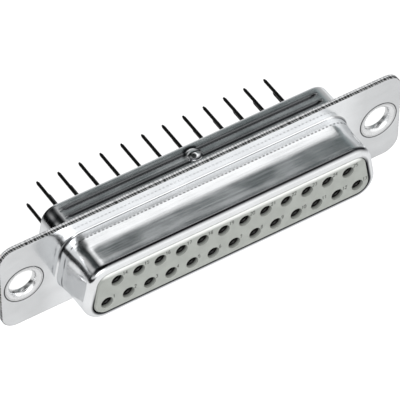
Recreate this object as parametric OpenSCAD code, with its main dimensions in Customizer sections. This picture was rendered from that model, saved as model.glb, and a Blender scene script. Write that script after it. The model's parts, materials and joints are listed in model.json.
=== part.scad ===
// Socket connector of the D-subminiature kind with straight board tails.
// Two drawn sheet shells, joined by hollow rivets at the ears, clamp a split insulator
// that holds two staggered rows of slit socket contacts.
//
// World frame: X runs along the connector, the mating side faces -Y, and +Z points towards
// the narrow row.  The origin is the middle of the flange's front face.
// Pieces are drawn lying on their back, with Z towards the mating side, and stood up last.

/* [Contact layout] */
// Contacts in the wide row; the narrow row has one fewer
wide_row_n = 13; // [5, 8, 13]
// Distance between neighbouring contacts of a row
contact_pitch = 2.76; // [2.7:0.01:2.8]
// Distance between the two rows
row_pitch = 2.84; // [2.78:0.01:2.9]

/* [Flange] */
// Height of the flange across the rows
flange_h = 12.2; // [12.2:0.05:12.9]
// Radius of the flange's corners in its plane
flange_corner_r = 2; // [1.5:0.1:2.6]
// From the outermost contact to the mounting hole beyond it
hole_offset = 6.96; // [6.8:0.01:7.1]
// From the mounting hole to the flange's end
ear_end = 2.98; // [2.85:0.01:3.2]
// Thickness of the sheet that both shells are drawn from
sheet_t = 0.35; // [0.3:0.01:0.4]

/* [Mating collar] */
// From the outermost contact to the collar's outside end
collar_end = 2.63; // [2.55:0.01:2.7]
// Outside height of the collar
collar_h = 7.9; // [7.8:0.05:8.0]
// How far the collar stands in front of the flange
collar_depth = 6.0; // [5.75:0.05:6.2]
// Outside corner radius of the collar
collar_corner_r = 2.6; // [2.4:0.05:2.7]
// Outside radius of the drawn root between flange and collar
root_r = 0.5; // [0.4:0.05:0.9]
// Outside radius where the collar's front rim turns inwards
rim_r = 0.75; // [0.65:0.05:0.85]
// Width of the flat lip that holds the insulator back
rim_lip = 0.25; // [0.15:0.05:0.3]
// Slant of the two ends of the D, from square
end_slant = 10.118; // [10.118]

/* [Rear skirt] */
// From the outermost contact to the skirt's outside end
skirt_end = 3.54; // [3.45:0.01:3.65]
// Outside height of the skirt
skirt_h = 10.7; // [10.5:0.05:10.75]
// How far the skirt reaches behind the flange's front face
skirt_depth = 4.35; // [4.2:0.05:4.6]
// Outside corner radius of the skirt
skirt_corner_r = 2; // [1.9:0.05:2.2]
// Outside radius of the drawn root between flange and skirt
skirt_root_r = 0.45; // [0.35:0.05:0.45]
// Outside radius where the skirt's rear edge turns inwards
skirt_rim_r = 0.55; // [0.5:0.05:0.65]
// Width of the flat lip at the rear edge
skirt_lip = 0.35; // [0.2:0.05:0.5]

/* [Skirt details] */
// Depth of the front groove behind the flange's front face
front_groove_at = 1.6; // [1.5:0.05:1.7]
// Depth of the rear groove behind the flange's front face
rear_groove_at = 2.8; // [2.7:0.05:3.0]
// Radius of the tool that presses the grooves
groove_r = 0.25; // [0.2:0.01:0.3]
// Depth of the grooves
groove_depth = 0.12; // [0.08:0.01:0.15]
// How far a groove stops short of the skirt's rounded corners
groove_stop = 0.3; // [0.2:0.1:1]
// Radius of the round bosses in the middle of the skirt, above and below
boss_r = 1; // [0.8:0.05:1.1]
// Height of those bosses
boss_h = 0.45; // [0.35:0.05:0.5]
// Depth of the bosses' centre behind the flange's front face
boss_at = 2.37; // [2.3:0.01:2.45]

/* [Hollow rivets] */
// Bore for the mounting screw
rivet_bore_d = 3.2; // [3.1:0.05:3.3]
// Wall of the rivet
rivet_wall = 0.25; // [0.2:0.01:0.3]
// Radius of the funnel that leads into the bore
funnel_r = 0.45; // [0.35:0.05:0.5]
// Width of the flat edge around the funnel
rivet_edge = 0.5; // [0.4:0.05:0.55]
// Diameter of the head rolled over behind the flange
rivet_roll_d = 4.9; // [4.7:0.05:5.0]
// Thickness of that rolled head
rivet_roll_t = 0.35; // [0.3:0.05:0.4]

/* [Insulator] */
// How far the rear insulator stands out of the skirt's opening
rear_proud = 0.1; // [0.05:0.05:0.2]
// Gap between the insulator and the shells' inside walls
insulator_gap = 0.05; // [0.03:0.01:0.06]
// Depth of the joint between the front and the rear insulator
joint_at = 2.5; // [2.4:0.05:2.55]
// Diameter of the pin entries where they reach the contact cavities
entry_d = 1.45; // [1.3:0.05:1.5]
// Draft of the pin entries, which widen towards the mating face
entry_draft = 6; // [3:1:8]
// Width of the chamfer around each pin entry
entry_chamfer = 0.15; // [0.1:0.05:0.15]
// Length of the pin entries ahead of the contact cavities
entry_len = 0.45; // [0.4:0.05:0.8]
// Width of the chamfer along the mating face's edge
face_chamfer = 0.15; // [0.1:0.05:0.2]
// How far the mating face stands proud of the collar's rim
face_proud = 0.1; // [0.05:0.01:0.15]

/* [Contacts] */
// Bore of the socket
socket_bore_d = 1.04; // [1.02:0.01:1.06]
// Outside diameter of the socket
socket_d = 1.6; // [1.5:0.05:1.65]
// Depth of the socket's bore
socket_depth = 5.0; // [4.6:0.1:5.2]
// Width of the slit that parts the socket's two tines
slit_w = 0.2; // [0.15:0.05:0.25]
// Length of that slit
slit_len = 3.6; // [3.2:0.1:4.0]
// Chamfer that leads a pin into the socket
socket_lead = 0.12; // [0.08:0.02:0.14]
// Diameter of the collar that is clamped in the insulator's joint
clamp_d = 2.05; // [1.95:0.05:2.1]
// Length of that collar on each side of the joint
clamp_half = 0.45; // [0.35:0.05:0.5]
// Diameter of the shank in the rear insulator
shank_d = 1.2; // [1.1:0.05:1.25]
// How far the shank stands behind the rear insulator
shank_proud = 0.1; // [0.05:0.05:0.15]
// Diameter of the board tail
tail_d = 0.4; // [0.35:0.01:0.6]
// Depth of the tails' tips behind the flange's front face
tail_reach = 11.3; // [9:0.1:13]
// Length of the tails' tapered ends
tail_point = 0.3; // [0.2:0.05:0.5]
// Gap around a contact in its cavity
cavity_gap = 0.08; // [0.06:0.01:0.1]

/* [Hidden] */
$fn = 48;
eps = 0.01;               // overshoot of cuts past a face
crease = 0.002;           // how far a filled outline's flats lie inside its arcs
overrun = 1;              // excess of a half outline past the middle, before it is trimmed
bite = 0.24;              // how far a swept wall runs into its flange
seat = 0.03;              // gap between a rivet and the sheets
tip_share = 0.6;          // width of a tail's blunt tip, as a share of the tail
contact_n = 2 * wide_row_n - 1;
row_len = (wide_row_n - 1) * contact_pitch;
hole_x = row_len / 2 + hole_offset;
back_t = 2 * sheet_t;     // both flanges together

// An outline is [length, height, corner radius, slant of its ends]
flange = [row_len + 2 * (hole_offset + ear_end), flange_h, flange_corner_r, 0];
collar = [row_len + 2 * collar_end, collar_h, collar_corner_r, end_slant];
skirt = [row_len + 2 * skirt_end, skirt_h, skirt_corner_r, end_slant];

// Distances from an outline's corner centres to the surfaces that follow it
collar_s = collar_corner_r;
skirt_s = skirt_corner_r;
nose_s = collar_s - sheet_t - insulator_gap;
window_s = collar_s - rim_r - rim_lip;
face_s = window_s - insulator_gap;
shoulder_s = skirt_s - sheet_t - insulator_gap;
skirt_window_s = skirt_s - skirt_rim_r - skirt_lip;
rear_s = skirt_window_s - insulator_gap;

// Levels towards the mating side, from the flange's front face
lip_back = collar_depth - sheet_t;
mating_face = collar_depth + face_proud;
rear_face = -skirt_depth - rear_proud;
cavity_front = mating_face - entry_len;
socket_front = cavity_front - cavity_gap;
shank_end = rear_face - shank_proud;
rivet_r = rivet_bore_d / 2 + rivet_wall;
head_r = rivet_bore_d / 2 + funnel_r + rivet_edge;

function contact_name(k) = str("contact_", k < 10 ? "0" : "", k);
function in_wide_row(k) = k <= wide_row_n;
function contact_x(k) = in_wide_row(k)
    ? (k - 1) * contact_pitch - row_len / 2
    : (k - wide_row_n - 0.5) * contact_pitch - row_len / 2;
function contact_y(k) = (in_wide_row(k) ? -1 : 1) * row_pitch / 2;

// ---- Outlines: a D or a rounded rectangle, swept and filled with true arcs ----

// Centres of an outline's corners, anticlockwise from the lower right
function corners(o) =
    let (x_low = o[0] / 2 - o[2], y = o[1] / 2 - o[2], x_high = x_low - 2 * y * tan(o[3]))
    [[x_low, -y], [x_high, y], [-x_high, y], [-x_low, -y]];

// Directions in which each corner's arc starts and ends
function arcs(o) = [[-90, o[3]], [o[3], 90], [90, 180 - o[3]], [180 - o[3], 270]];
function towards(a) = [cos(a), sin(a)];

// Extrudes a section along the path, from the frame's origin back by some length
module run_back(len) { rotate([90, 0, 0]) linear_extrude(len) children(); }

// Carries a section round the right half of an outline: its x is the distance from the
// corner centres.  Each stretch hangs on the one before, so neighbours share one frame.
module half_sweep(o) {
    c = corners(o);
    side = norm(c[1] - c[0]);
    top = c[1][0] + overrun;
    intersection() {
        translate(c[0]) rotate(-90) {
            run_back(c[0][0] + overrun) children();
            rotate_extrude(angle = 90 + o[3]) children();
            rotate(90 + o[3]) translate([0, side, 0]) {
                run_back(side) children();
                rotate_extrude(angle = 90 - o[3]) children();
                rotate(90 - o[3]) translate([0, top, 0]) run_back(top) children();
            }
        }
        translate([0, -o[1], -o[1]]) cube([o[0], 2 * o[1], 2 * o[1]]);
    }
}

module sweep(o) {
    half_sweep(o) children();
    mirror([1, 0, 0]) half_sweep(o) children();
}

// Fills an outline, taken at distance s from its corner centres, from level z0 to z1
module slab(o, s, z0, z1) {
    c = corners(o);
    a = arcs(o);
    flat = s - crease;
    translate([0, 0, z0]) linear_extrude(z1 - z0) {
        polygon([for (i = [0:3]) each [c[i] + flat * towards(a[i][0]), c[i] + flat * towards(a[i][1])]]);
        for (p = c) translate(p) circle(s);
    }
}

// Quarter of a bent sheet about a point, in the quadrant that sx and sy name
module bend(at, r_out, t, sx, sy) {
    translate(at) intersection() {
        difference() {
            circle(r_out);
            circle(r_out - t);
        }
        translate([sx < 0 ? -r_out : 0, sy < 0 ? -r_out : 0]) square(r_out);
    }
}

module stand() { rotate([90, 0, 0]) children(); }

module at_holes() {
    for (side = [-1, 1]) translate([side * hole_x, 0, 0]) children();
}

module at_contacts() {
    for (k = [1:contact_n]) translate([contact_x(k), contact_y(k), 0]) children();
}

// ---- Shells ----

// Section of the drawn collar: root, wall, turned-in rim and lip
module collar_section() {
    root_s = collar_s + root_r;
    rim_s = collar_s - rim_r;
    translate([root_s, -sheet_t]) square([bite, sheet_t]);
    bend([root_s, root_r], root_r + sheet_t, sheet_t, -1, -1);
    translate([collar_s - sheet_t, root_r]) square([sheet_t, collar_depth - rim_r - root_r]);
    bend([rim_s, collar_depth - rim_r], rim_r, sheet_t, 1, 1);
    translate([window_s, lip_back]) square([rim_lip, sheet_t]);
}

// Section of the rear skirt: root, wall, turned-in rim and lip
module skirt_section() {
    root_s = skirt_s + skirt_root_r;
    root_z = -back_t - skirt_root_r;
    rim_s = skirt_s - skirt_rim_r;
    rim_z = skirt_rim_r - skirt_depth;
    translate([root_s, -back_t]) square([bite, sheet_t]);
    bend([root_s, root_z], skirt_root_r + sheet_t, sheet_t, -1, 1);
    translate([skirt_s - sheet_t, rim_z]) square([sheet_t, root_z - rim_z]);
    bend([rim_s, rim_z], skirt_rim_r, sheet_t, 1, -1);
    translate([skirt_window_s, -skirt_depth]) square([skirt_lip, sheet_t]);
}

// Grooves pressed into the skirt's two long sides
module grooves() {
    c = corners(skirt);
    for (at = [front_groove_at, rear_groove_at], i = [0, 1])
        translate([groove_stop - c[i][0], (i == 0 ? -1 : 1) * (skirt_h / 2 + groove_r - groove_depth), -at])
            rotate([0, 90, 0]) cylinder(r = groove_r, h = 2 * (c[i][0] - groove_stop));
}

// Radius of the ball that shapes each boss
ball_r = (boss_r * boss_r + boss_h * boss_h) / (2 * boss_h);

// Ball of each boss, less some thickness
module boss_balls(less) {
    for (side = [-1, 1])
        translate([0, side * (skirt_h / 2 + boss_h - ball_r), -boss_at]) sphere(ball_r - less);
}

module front_shell() {
    color("#d2d4d6") stand() difference() {
        union() {
            difference() {
                slab(flange, flange_corner_r, -sheet_t, 0);
                slab(collar, collar_s + root_r + bite / 2, -sheet_t - eps, eps);
            }
            sweep(collar) collar_section();
        }
        at_holes() translate([0, 0, -sheet_t])
            cylinder(r1 = head_r + seat - sheet_t, r2 = head_r + seat, h = sheet_t);
    }
}

module rear_shell() {
    side_y = skirt_h / 2 - sheet_t;
    color("#b9bdc2") stand() difference() {
        union() {
            difference() {
                union() {
                    difference() {
                        slab(flange, flange_corner_r, -back_t, -sheet_t);
                        slab(skirt, skirt_s + skirt_root_r + bite / 2, -back_t - eps, -sheet_t + eps);
                    }
                    sweep(skirt) skirt_section();
                }
                grooves();
            }
            difference() {
                boss_balls(0);
                translate([-ball_r - eps, -side_y - eps, -skirt_depth])
                    cube([2 * ball_r + 2 * eps, 2 * side_y + 2 * eps, skirt_depth]);
            }
        }
        boss_balls(sheet_t);
        at_holes() translate([0, 0, -back_t - eps]) cylinder(r = rivet_r + seat, h = sheet_t + 2 * eps);
    }
}

// ---- Hollow rivets ----

module rivet() {
    bore_r = rivet_bore_d / 2;
    funnel_s = bore_r + funnel_r;
    end_z = -back_t - rivet_roll_t;
    roll_r = rivet_roll_d / 2;
    rotate_extrude() difference() {
        polygon([
            [bore_r, end_z], [roll_r, end_z], [roll_r, -back_t], [rivet_r, -back_t],
            [rivet_r, -sheet_t], [head_r - sheet_t, -sheet_t], [head_r, 0], [bore_r, 0]
        ]);
        difference() {
            translate([bore_r - eps, -funnel_r]) square([funnel_r + eps, funnel_r + eps]);
            translate([funnel_s, -funnel_r]) circle(funnel_r);
        }
    }
}

module rivet_at(side) { color("#c8cacc") stand() translate([side * hole_x, 0, 0]) rivet(); }

// ---- Insulators ----

// Rim of the mating face, with its chamfer
module face_section() {
    inner = face_s - bite;
    base = lip_back - face_chamfer;
    polygon([
        [inner, base], [face_s, base], [face_s, mating_face - face_chamfer],
        [face_s - face_chamfer, mating_face], [inner, mating_face]
    ]);
}

module entry_cut() {
    widen = tan(entry_draft);
    inner = entry_d / 2;
    mouth = inner + entry_len * widen;
    translate([0, 0, cavity_front - eps])
        cylinder(r1 = inner - eps * widen, r2 = mouth + eps * widen, h = entry_len + 2 * eps);
    translate([0, 0, mating_face - entry_chamfer])
        cylinder(r1 = mouth - entry_chamfer, r2 = mouth + entry_chamfer, h = 2 * entry_chamfer);
}

module cavity_cut() {
    translate([0, 0, -joint_at - eps])
        cylinder(d = socket_d + 2 * cavity_gap, h = cavity_front + joint_at + eps);
    translate([0, 0, -joint_at - eps])
        cylinder(d = clamp_d + 2 * cavity_gap, h = clamp_half + eps);
}

module front_insulator() {
    color("#bfc1bb") stand() difference() {
        union() {
            slab(skirt, shoulder_s, -joint_at, -sheet_t);
            slab(collar, nose_s, -sheet_t - bite, collar_depth - rim_r);
            slab(collar, collar_s - rim_r, 0, lip_back);
            slab(collar, face_s - bite / 2, 0, mating_face);
            sweep(collar) face_section();
        }
        at_contacts() {
            entry_cut();
            cavity_cut();
        }
    }
}

module rear_insulator() {
    color("#a9aba6") stand() difference() {
        union() {
            slab(skirt, shoulder_s, -skirt_depth + skirt_rim_r, -joint_at);
            slab(skirt, skirt_s - skirt_rim_r, -skirt_depth + sheet_t, -joint_at);
            slab(skirt, rear_s, rear_face, -joint_at);
        }
        at_contacts() {
            translate([0, 0, rear_face - eps])
                cylinder(d = shank_d + 2 * cavity_gap, h = skirt_depth);
            translate([0, 0, -joint_at - clamp_half])
                cylinder(d = clamp_d + 2 * cavity_gap, h = clamp_half + eps);
        }
    }
}

// ---- Contacts ----

module contact(k) {
    color("#8f9092") stand() translate([contact_x(k), contact_y(k), 0]) {
        difference() {
            union() {
                translate([0, 0, -joint_at]) cylinder(d = socket_d, h = socket_front + joint_at);
                translate([0, 0, -joint_at - clamp_half]) cylinder(d = clamp_d, h = 2 * clamp_half);
                translate([0, 0, shank_end]) cylinder(d = shank_d, h = -shank_end - joint_at);
            }
            translate([0, 0, socket_front - socket_depth])
                cylinder(d = socket_bore_d, h = socket_depth + eps);
            translate([0, 0, socket_front - socket_lead])
                cylinder(d1 = socket_bore_d, d2 = socket_bore_d + 2 * socket_lead, h = socket_lead + eps);
            translate([-socket_d, -slit_w / 2, socket_front - slit_len])
                cube([2 * socket_d, slit_w, slit_len + eps]);
        }
        translate([0, 0, -tail_reach + tail_point])
            cylinder(d = tail_d, h = tail_reach - tail_point + shank_end);
        translate([0, 0, -tail_reach])
            cylinder(d1 = tip_share * tail_d, d2 = tail_d, h = tail_point);
    }
}

front_shell();
rear_shell();
front_insulator();
rear_insulator();
for (k = [1:contact_n])
    contact(k);
rivet_at(-1);  // rivet_left
rivet_at(1);  // rivet_right
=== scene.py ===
"""Looks of a riveted D-shaped socket connector: two drawn sheet shells, a grey moulded
insulator, slit contacts and hollow rivets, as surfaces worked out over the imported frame."""

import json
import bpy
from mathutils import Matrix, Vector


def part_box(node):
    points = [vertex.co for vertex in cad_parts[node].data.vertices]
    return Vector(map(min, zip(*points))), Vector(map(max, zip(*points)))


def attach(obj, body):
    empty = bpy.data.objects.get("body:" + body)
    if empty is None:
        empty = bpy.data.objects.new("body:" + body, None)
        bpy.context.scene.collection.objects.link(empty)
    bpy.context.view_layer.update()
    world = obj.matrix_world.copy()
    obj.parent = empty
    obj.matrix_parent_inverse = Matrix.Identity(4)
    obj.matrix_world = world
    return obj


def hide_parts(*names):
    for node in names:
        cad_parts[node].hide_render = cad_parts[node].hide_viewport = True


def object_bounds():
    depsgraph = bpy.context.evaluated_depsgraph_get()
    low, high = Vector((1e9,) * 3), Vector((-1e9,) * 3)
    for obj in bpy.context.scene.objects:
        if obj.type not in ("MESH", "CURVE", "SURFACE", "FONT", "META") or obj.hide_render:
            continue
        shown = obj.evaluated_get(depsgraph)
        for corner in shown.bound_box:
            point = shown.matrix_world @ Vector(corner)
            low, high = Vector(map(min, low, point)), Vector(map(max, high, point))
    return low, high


bl_info = {
    "name": "Socket Connector Looks",
    "version": (1, 0, 0),
    "blender": (4, 5, 0),
    "location": "3D View > Sidebar > Connector",
    "description": "Builds the shells, rivets, contact numbers and studio of a D-shaped connector",
    "category": "Add Mesh",
}

from math import cos, hypot, pi, radians, sin, tan

import bmesh
import bpy
import numpy as np
from mathutils import Matrix, Vector

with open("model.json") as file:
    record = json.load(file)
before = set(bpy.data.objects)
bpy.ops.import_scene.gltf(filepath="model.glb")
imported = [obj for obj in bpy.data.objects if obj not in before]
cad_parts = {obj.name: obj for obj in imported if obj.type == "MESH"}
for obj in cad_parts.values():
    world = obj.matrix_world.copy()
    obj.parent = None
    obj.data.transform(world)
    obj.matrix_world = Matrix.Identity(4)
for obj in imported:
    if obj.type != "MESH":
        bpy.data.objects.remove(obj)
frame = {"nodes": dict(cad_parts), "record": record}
CAD_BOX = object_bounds()
MM = 0.001
PITCH_HOLES = frame["record"]["mounts"][0]["dims"]["spacing_x_mm"] * MM
BORE = frame["record"]["mounts"][0]["dims"]["hole_r_mm"] * MM
SHELL_LOW, SHELL_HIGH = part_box("front_shell")
REAR_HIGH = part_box("rear_shell")[1]
MATING_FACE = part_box("front_insulator")[0][1]
CONTACTS = sorted(n for n in frame["nodes"] if n.startswith("contact_"))


# ---------------------------------------------------------------- properties


def length(name, about, value, low=0.0, high=0.1):
    """A size in metres that a user may change."""
    return bpy.props.FloatProperty(
        name=name, description=about, default=value, min=low, max=high,
        unit="LENGTH", subtype="DISTANCE", precision=5,
    )


def share(name, about, value):
    """A plain number from 0 to 1."""
    return bpy.props.FloatProperty(
        name=name, description=about, default=value, min=0.0, max=1.0, subtype="FACTOR"
    )


def colour(name, about, value):
    """A colour in linear light."""
    return bpy.props.FloatVectorProperty(
        name=name, description=about, default=value, size=3, min=0.0, max=1.0, subtype="COLOR"
    )


class ShellSizes(bpy.types.PropertyGroup):
    """Sizes of the two drawn shells."""

    sheet: length("Sheet", "Thickness of the drawn sheet", 0.35 * MM)
    flange_corner: length("Flange corner", "Corner radius of the flange", 2.0 * MM)
    edge_roll: length("Edge roll", "Radius left by shearing along the sheet's edge", 0.09 * MM)
    collar_width: length("Collar width", "Outside width of the mating collar", 38.38 * MM)
    collar_height: length("Collar height", "Outside height of the mating collar", 7.9 * MM)
    collar_corner: length("Collar corner", "Outside corner radius of the collar", 2.6 * MM)
    collar_root: length("Collar root", "Outside radius between flange and collar", 0.25 * MM)
    collar_rim: length("Collar rim", "Outside radius of the turned-in rim", 0.75 * MM)
    collar_flare: bpy.props.FloatProperty(
        name="Collar flare", description="Angle at which the collar spreads at its foot",
        default=radians(6.0), min=0.0, max=0.3, unit="ROTATION", subtype="ANGLE",
    )
    flare_reach: length("Flare reach", "How far along the collar the spread dies out", 3.15 * MM)
    collar_swell: length("Collar swell", "Depth of the faint ridge round the collar", 4.6 * MM)
    collar_lip: length("Collar lip", "Flat width of the lip round the insulator", 0.25 * MM)
    skirt_width: length("Skirt width", "Outside width of the rear skirt", 40.2 * MM)
    skirt_height: length("Skirt height", "Outside height of the rear skirt", 10.7 * MM)
    skirt_corner: length("Skirt corner", "Outside corner radius of the skirt", 2.0 * MM)
    skirt_root: length("Skirt root", "Outside radius between flange and skirt", 0.45 * MM)
    skirt_rim: length("Skirt rim", "Outside radius of the skirt's turned-in edge", 0.55 * MM)
    skirt_lip: length("Skirt lip", "Flat width of the skirt's lip", 0.35 * MM)
    slant: bpy.props.FloatProperty(
        name="End slant", description="Slant of the D's two ends from square",
        default=radians(10.118), min=0.0, max=0.3, unit="ROTATION", subtype="ANGLE",
    )
    # depth of a painted dark reflection line round the collar's foot
    draw_line: length("Draw line", "Depth of the faint line left round the collar's foot", 1.0 * MM)
    groove_front: length("Front groove", "Depth of the front groove behind the flange's face", 1.7 * MM)
    groove_rear: length("Rear groove", "Depth of the rear groove behind the flange's face", 2.92 * MM)
    groove_radius: length("Groove radius", "Radius of the tool that pressed the grooves", 0.25 * MM)
    groove_depth: length("Groove depth", "Depth of the grooves", 0.12 * MM)
    boss_radius: length("Boss radius", "Radius of the round boss on the skirt", 1.0 * MM)
    boss_height: length("Boss height", "Height of the round boss", 0.45 * MM)
    boss_place: length("Boss place", "Depth of the boss behind the flange's face", 2.37 * MM)


class TrimSizes(bpy.types.PropertyGroup):
    """Sizes of the rivets and of the numbers on the mating face."""

    rivet_wall: length("Rivet wall", "Wall of the hollow rivet", 0.25 * MM)
    rivet_funnel: length("Rivet funnel", "Radius that leads into the bore", 0.66 * MM)
    rivet_edge: length("Rivet edge", "Flat edge around the funnel", 0.21 * MM)
    rivet_roll: length("Rivet roll", "Radius of the head rolled over behind", 2.45 * MM)
    rivet_soft: length("Rivet softening", "Radius of the rivet's rounded edges", 0.06 * MM)
    number_height: length("Number height", "Height of the raised contact numbers", 0.5 * MM)
    number_stroke: length("Number stroke", "Half width of a number's stroke", 0.05 * MM)
    number_proud: length("Number relief", "How far the numbers stand out of the face", 0.03 * MM)


class Finishes(bpy.types.PropertyGroup):
    """Colours and gloss of the connector's materials."""

    sheet_colour: colour("Tin plate", "Colour of the plated sheet", (0.80, 0.81, 0.82))
    sheet_rough: share("Sheet roughness", "Roughness of the plated sheet", 0.12)
    insulator_colour: colour("Insulator", "Colour of the moulded insulator", (0.31, 0.324, 0.302))
    contact_colour: colour("Contact", "Colour of the plated contacts", (0.20, 0.20, 0.195))
    rivet_colour: colour("Rivet", "Colour of the hollow rivets", (0.74, 0.745, 0.75))
    floor_colour: colour("Floor", "Colour of the floor", (0.9, 0.9, 0.9))


# ---------------------------------------------------------------- surfaces


def arc(cx, cy, r, a0, a1, n):
    """Points (cx + r cos t, cy + r sin t) for n values of t from a0 to a1 degrees."""
    t = np.radians(np.linspace(a0, a1, n))
    return np.column_stack((cx + r * np.cos(t), cy + r * np.sin(t)))


def line(p, q, n):
    """n points spaced evenly from p to q."""
    f = np.linspace(0.0, 1.0, n)[:, None]
    return np.array(p) * (1 - f) + np.array(q) * f


def chain(*parts):
    """The parts one after another, each point that repeats its forerunner left out."""
    pts = np.vstack(parts)
    keep = np.r_[True, np.linalg.norm(np.diff(pts, axis=0), axis=1) > 1e-9]
    return pts[keep]


def warp(n, pull):
    """n shares from -1 to 1, packed towards 0 by the odd power blend t (1 - pull) + pull t^3."""
    t = np.linspace(-1.0, 1.0, n)
    return t * (1 - pull) + pull * t**3


class Outline:
    """A D, walked anticlockwise seen from the front.  A point at distance s from the line
    through the corner centres is centre(u) + s * normal(u): on a straight the centre moves and
    the normal stays, in a corner the centre stays and the normal turns."""

    def __init__(self, width, height, corner, slant, n_long, n_corner, n_side, pull=0.0):
        x0, y = width / 2 - corner, height / 2 - corner
        x1 = x0 - 2 * y * tan(slant)
        a = slant
        cs = [(x0, -y), (x1, y), (-x1, y), (-x0, -y)]
        f = (warp(n_long, pull) + 1) / 2
        ends = [(-pi / 2, a), (a, pi / 2), (pi / 2, pi - a), (pi - a, 3 * pi / 2)]
        centres, normals, part = [], [], []

        def straight(p, q, angle, shares, tag):
            centres.append(np.array(p) * (1 - shares[:, None]) + np.array(q) * shares[:, None])
            normals.append(np.tile((cos(angle), sin(angle)), (len(shares), 1)))
            part.append(np.full(len(shares), tag))

        def corner_arc(k, tag):
            t = np.linspace(*ends[k], n_corner)[1:-1]
            centres.append(np.tile(cs[k], (len(t), 1)))
            normals.append(np.column_stack((np.cos(t), np.sin(t))))
            part.append(np.full(len(t), tag))

        g = np.linspace(0.0, 1.0, n_side)
        straight(cs[3], cs[0], -pi / 2, f, 0)
        corner_arc(0, 1)
        straight(cs[0], cs[1], a, g, 1)
        corner_arc(1, 1)
        straight(cs[1], cs[2], pi / 2, f, 2)
        corner_arc(2, 3)
        straight(cs[2], cs[3], pi - a, g, 3)
        corner_arc(3, 3)
        self.centres, self.normals = np.vstack(centres), np.vstack(normals)
        self.part = np.concatenate(part)

    def loops(self, section):
        """One closed loop of points for each (s, depth) of the section."""
        flat = self.centres[None] + section[:, 0, None, None] * self.normals[None]
        depth = np.broadcast_to(section[:, 1, None], flat.shape[:2])
        return np.stack((flat[..., 0], depth, flat[..., 1]), axis=-1)


def grid_faces(rows, cols, wrap_rows=True):
    """Quads of a rows by cols grid of points, each from four neighbours; the columns close up."""
    r = np.arange(rows if wrap_rows else rows - 1)
    c = np.arange(cols)
    i, j = np.meshgrid(r, c, indexing="ij")
    i1, j1 = (i + 1) % rows, (j + 1) % cols
    return np.stack((i * cols + j, i * cols + j1, i1 * cols + j1, i1 * cols + j), axis=-1)


def make_object(name, points, quads, material, weld=False):
    """A mesh object from points in metres and quads, smooth, its normals turned outwards."""
    me = bpy.data.meshes.new(name)
    me.vertices.add(len(points))
    me.vertices.foreach_set("co", np.ascontiguousarray(points, dtype=np.float32).ravel())
    me.loops.add(quads.size)
    me.loops.foreach_set("vertex_index", np.ascontiguousarray(quads, dtype=np.int32).ravel())
    me.polygons.add(len(quads))
    me.polygons.foreach_set("loop_start", np.arange(0, quads.size, 4, dtype=np.int32))
    me.update(calc_edges=True)
    me.validate()
    bm = bmesh.new()
    bm.from_mesh(me)
    if weld:
        bmesh.ops.remove_doubles(bm, verts=bm.verts, dist=1e-7)
        loose = [v for v in bm.verts if not v.link_faces]
        bmesh.ops.delete(bm, geom=loose, context="VERTS")
    bmesh.ops.recalc_face_normals(bm, faces=bm.faces)
    bm.to_mesh(me)
    bm.free()
    me.polygons.foreach_set("use_smooth", np.ones(len(me.polygons), dtype=bool))
    me.materials.append(material)
    obj = bpy.data.objects.new(name, me)
    bpy.context.scene.collection.objects.link(obj)
    return obj


def mark(obj, values):
    """Keeps one number from 0 to 1 on each point of a piece, which its material reads as painted shade and
    painted dark reflection.
    """
    layer = obj.data.attributes.new("painted_dark", "FLOAT", "POINT")
    layer.data.foreach_set("value", np.ascontiguousarray(np.clip(values, 0, 1), dtype=np.float32))


def points_of(obj):
    """The piece's points as an array of x, y, z."""
    co = np.empty(len(obj.data.vertices) * 3, dtype=np.float32)
    obj.data.vertices.foreach_get("co", co)
    return co.reshape(-1, 3).astype(float)


def bell(distance, width):
    """1 at distance 0, falling to 0 at the width as (1 - (d / w)^2)^2."""
    return np.clip(1 - (distance / width) ** 2, 0, 1) ** 2


def rise(value, start, width):
    """0 up to the start, then evenly up to 1 over the width: clip((v - start) / width, 0, 1)."""
    return np.clip((value - start) / width, 0, 1)


SHEARED_SHARE = 0.9  # how much of an edge's roll has the sheared finish


def shear_edge(obj, half_w, half_h, corner, roll):
    """Gives the cut edge of a plate its own finish: the faces whose middle lies on the rounded
    rectangle's border, where |max(|x| - a, 0), max(|z| - b, 0)| = corner."""
    obj.data.materials.append(sheared_edge())
    co = points_of(obj)
    for f in obj.data.polygons:
        x, _, z = co[list(f.vertices)].mean(axis=0)
        dx, dz = abs(x) - (half_w - corner), abs(z) - (half_h - corner)
        if hypot(max(dx, 0), max(dz, 0)) > corner - SHEARED_SHARE * roll:
            f.material_index = 1


def finish_piece(obj, slot, *nodes):
    """The piece rides on the root and stands for its CAD nodes; the slot is not used."""
    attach(obj, "root")
    if nodes:
        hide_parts(*nodes)


# ---------------------------------------------------------------- shells

EAR_CUT_FRONT, EAR_CUT_REAR = 20.5 * MM, 20.9 * MM  # where the flange's middle meets its ears
HOLE_RINGS = (0.05 * MM, 0.1 * MM, 0.16 * MM)  # extra rings of points round each flange hole
HOLE_GAP = 0.03 * MM  # between a rivet and the sheet round it
SWELL_WIDTH = 0.45 * MM  # half the width of the collar's faint ridge
CUT_EDGE_SHARE = 0.35  # radius of a lip's cut edge, as a share of the sheet
ROOT_FLAT = 0.06 * MM  # flat of the plate beyond a root bend
GROOVE_END = 0.3 * MM  # how far short of the skirt's corners the grooves stop
# half widths of the painted shade and painted dark reflections: along the line at the collar's foot, in the
# corners' crease, on the rim, in the gap round the insulator, round the rivets, in the grooves and round the
# bosses
REFLECTION_LINE_HALF, CREASE_REFLECTION_HALF, RIM_REFLECTION_HALF, GAP_SHADOW_HALF = 0.13 * MM, 0.3 * MM, 0.46 * MM, 0.34 * MM
RIVET_SHADOW_HALF, GROOVE_SHADE_HALF, BOSS_SHADE_HALF = 0.09 * MM, 0.5 * MM, 0.16 * MM


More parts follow.
